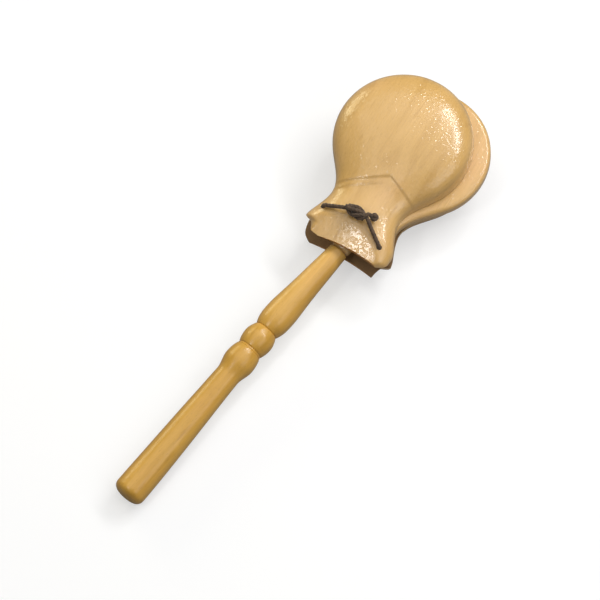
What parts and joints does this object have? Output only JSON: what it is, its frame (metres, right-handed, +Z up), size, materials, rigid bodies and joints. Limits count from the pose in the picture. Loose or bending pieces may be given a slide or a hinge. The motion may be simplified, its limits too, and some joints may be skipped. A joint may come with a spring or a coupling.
{
  "type": "handle castanet",
  "caption": "Handle castanet: a turned wooden handle with a flat board on its end and a carved, hollowed wooden shell tied with cord on either face of the board, so that both clap.",
  "frame": {"origin": "point on the flat of the rear shell's back that lies on the table, below the middle of its bowl", "axes": "+X level along the table from the handle to the head, +Z up from the table towards the front shell, +Y to the left of the handle as seen from above"},
  "size_m": [0.2436, 0.0731, 0.0399],
  "materials": {
    "handle_wood": "satin varnish over a golden brown turned hardwood",
    "shell_wood": "satin varnish over a pale peach-blond carved hardwood",
    "cord": "dull dark brown waxed cord"
  },
  "bodies": {
    "handle_and_board": {"handle": "handle_wood", "clapper_board": "shell_wood", "board_cord_left": "cord", "board_cord_right": "cord"},
    "front_clapper": {"front_shell": "shell_wood", "front_cord_left": "cord", "front_cord_right": "cord"},
    "rear_clapper": {"rear_shell": "shell_wood", "rear_cord": "cord"}
  },
  "joints": [
    {"name": "front_clap", "type": "hinge", "parent": "handle_and_board", "child": "front_clapper", "pos_m": [-0.04541, -0.00503, 0.02026], "axis": [0, -1, 0], "range_deg": [0, 15]},
    {"name": "rear_clap", "type": "hinge", "parent": "handle_and_board", "child": "rear_clapper", "pos_m": [-0.04498, -0.00503, 0.01297], "axis": [0, 1, 0], "range_deg": [0, 15]}
  ]
}
